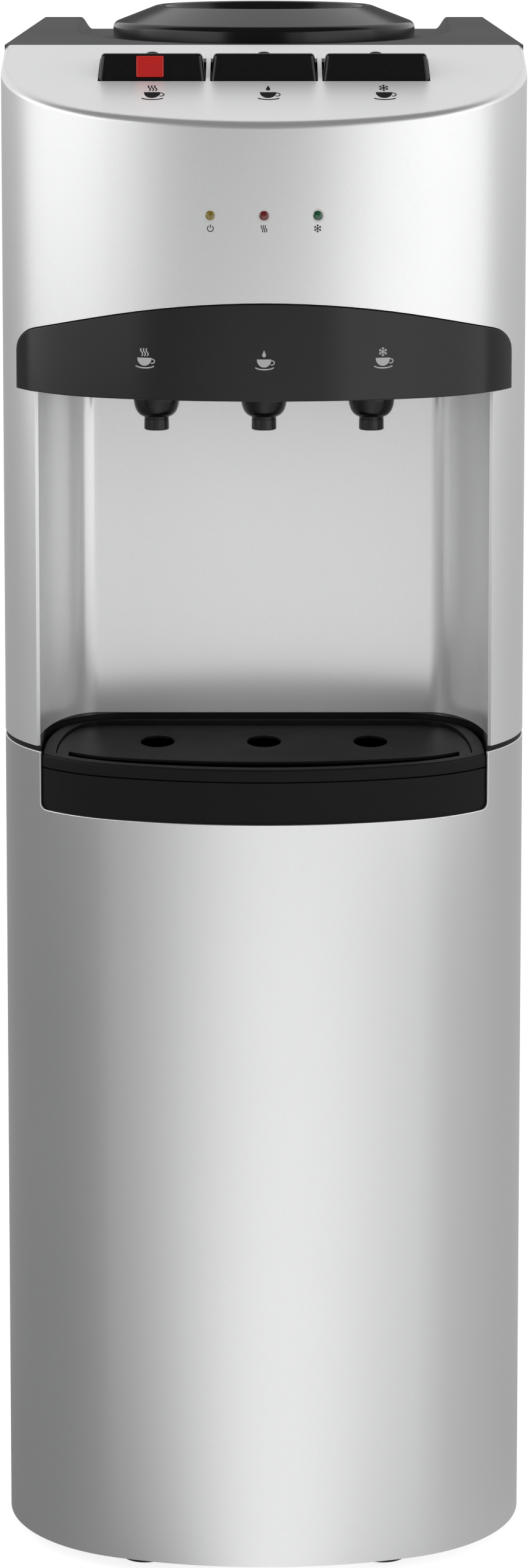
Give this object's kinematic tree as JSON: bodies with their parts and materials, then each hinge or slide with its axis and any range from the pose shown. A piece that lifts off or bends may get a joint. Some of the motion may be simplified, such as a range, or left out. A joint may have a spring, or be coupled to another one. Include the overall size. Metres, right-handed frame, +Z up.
{
  "type": "water dispenser",
  "caption": "Free-standing bottle-top water dispenser with a bowed silver front, dark tap band, push keys, a recessed niche and a lift-out drip tray.",
  "frame": {"origin": "floor level under the middle of the footprint", "axes": "+X right as seen from the front, +Y to the back, +Z up"},
  "size_m": [0.31, 0.365, 0.917],
  "materials": {
    "silver_paint": "satin",
    "silver_steel": "satin",
    "graphite_steel": "satin",
    "graphite_plastic": "matte",
    "black_gloss": "gloss",
    "black_satin": "satin",
    "red_plastic": "gloss",
    "green_plastic": "gloss",
    "amber_lens": "gloss",
    "red_lens": "gloss",
    "green_lens": "gloss",
    "white_plastic": "satin",
    "board_green": "satin",
    "galvanised": "satin",
    "bright_steel": "polished",
    "stainless": "satin",
    "white_foam": "matte",
    "copper": "satin",
    "heater_steel": "satin",
    "black_phenolic": "matte",
    "silicone": "satin",
    "black_steel": "satin",
    "black_rubber": "matte"
  },
  "bodies": {
    "cabinet": {"upper_front_casing": "silver_paint", "niche_liner": "silver_paint", "lower_front_panel": "silver_steel", "left_side_panel": "graphite_steel", "right_side_panel": "graphite_steel", "top_deck": "graphite_plastic", "tap_band": "black_gloss", "nozzle_bells": "black_gloss", "hot_tap": "black_gloss", "room_tap": "black_gloss", "cold_tap": "black_gloss", "tray_housing": "black_satin", "switch_frames": "black_satin", "power_lamp": "amber_lens", "hot_lamp": "red_lens", "cold_lamp": "green_lens", "lamp_bezels": "white_plastic", "key_frame": "white_plastic", "tank_baffle": "white_plastic", "drain_cap": "white_plastic", "led_board": "board_green", "base_plate": "galvanised", "back_panel": "galvanised", "tank_shelves": "galvanised", "panel_screws": "bright_steel", "key_hinge_rod": "bright_steel", "cold_tank": "stainless", "hot_tank": "stainless", "cold_tank_foam": "white_foam", "hot_tank_foam": "white_foam", "evaporator_coil": "copper", "refrigerant_lines": "copper", "band_heater": "heater_steel", "thermostats": "black_phenolic", "hot_bellows": "silicone", "room_bellows": "silicone", "cold_bellows": "silicone", "room_hose": "silicone", "cold_hose": "silicone", "hot_tank_hoses": "silicone", "compressor": "black_steel", "condenser": "black_steel", "feet": "black_rubber", "compressor_grommets": "black_rubber", "cord_gland": "black_rubber", "condenser_clips": "black_rubber"},
    "hot_key": {"hot_key": "black_gloss"},
    "hot_push_rod": {"hot_push_rod": "white_plastic"},
    "room_key": {"room_key": "black_gloss"},
    "room_push_rod": {"room_push_rod": "white_plastic"},
    "cold_key": {"cold_key": "black_gloss"},
    "cold_push_rod": {"cold_push_rod": "white_plastic"},
    "child_lock": {"child_lock": "red_plastic"},
    "drip_tray": {"drip_tray": "black_satin"},
    "drip_grid": {"drip_grid": "black_satin"},
    "bottle_collar": {"bottle_collar": "black_satin", "collar_funnel": "black_satin", "collar_throat": "black_satin"},
    "hot_rocker": {"hot_rocker": "red_plastic"},
    "cold_rocker": {"cold_rocker": "green_plastic"}
  },
  "joints": [
    {"name": "hot_key_press", "type": "hinge", "parent": "cabinet", "child": "hot_key", "pos_m": [-0.0655, -0.0655, 0.87311], "axis": [1, 0, 0], "range_deg": [0, 10], "stiffness_Nm_per_rad": 1.2, "springref_deg": -5.73},
    {"name": "hot_rod_slide", "type": "slide", "parent": "cabinet", "child": "hot_push_rod", "axis": [0, 0, -1], "range_m": [0, 0.0042], "deforming": ["hot_bellows"]},
    {"name": "room_key_press", "type": "hinge", "parent": "cabinet", "child": "room_key", "pos_m": [0, -0.0655, 0.87311], "axis": [1, 0, 0], "range_deg": [0, 10], "stiffness_Nm_per_rad": 1.2, "springref_deg": -5.73},
    {"name": "room_rod_slide", "type": "slide", "parent": "cabinet", "child": "room_push_rod", "axis": [0, 0, -1], "range_m": [0, 0.0042], "deforming": ["room_bellows"]},
    {"name": "cold_key_press", "type": "hinge", "parent": "cabinet", "child": "cold_key", "pos_m": [0.0655, -0.0655, 0.87311], "axis": [1, 0, 0], "range_deg": [0, 10], "stiffness_Nm_per_rad": 1.2, "springref_deg": -5.73},
    {"name": "cold_rod_slide", "type": "slide", "parent": "cabinet", "child": "cold_push_rod", "axis": [0, 0, -1], "range_m": [0, 0.0042], "deforming": ["cold_bellows"]},
    {"name": "child_lock_press", "type": "slide", "parent": "hot_key", "child": "child_lock", "axis": [0, 1, 0], "range_m": [0, 0.002], "stiffness_N_per_m": 400, "springref_m": -0.002},
    {"name": "tray_lift", "type": "slide", "parent": "cabinet", "child": "drip_tray", "axis": [0, 0, 1], "range_m": [0, 0.1]},
    {"name": "grid_lift", "type": "slide", "parent": "drip_tray", "child": "drip_grid", "axis": [0, 0, 1], "range_m": [0, 0.06]},
    {"name": "collar_lift", "type": "slide", "parent": "cabinet", "child": "bottle_collar", "axis": [0, 0, 1], "range_m": [0, 0.08]},
    {"name": "hot_switch_rock", "type": "hinge", "parent": "cabinet", "child": "hot_rocker", "pos_m": [0.032, 0.1565, 0.352], "axis": [1, 0, 0], "range_deg": [0, 16]},
    {"name": "cold_switch_rock", "type": "hinge", "parent": "cabinet", "child": "cold_rocker", "pos_m": [0.062, 0.1565, 0.352], "axis": [1, 0, 0], "range_deg": [0, 16]}
  ],
  "couplings": [
    {"joint": "hot_rod_slide", "follows": "hot_key_press", "m_per_rad": 0.0235},
    {"joint": "room_rod_slide", "follows": "room_key_press", "m_per_rad": 0.0235},
    {"joint": "cold_rod_slide", "follows": "cold_key_press", "m_per_rad": 0.0235}
  ]
}
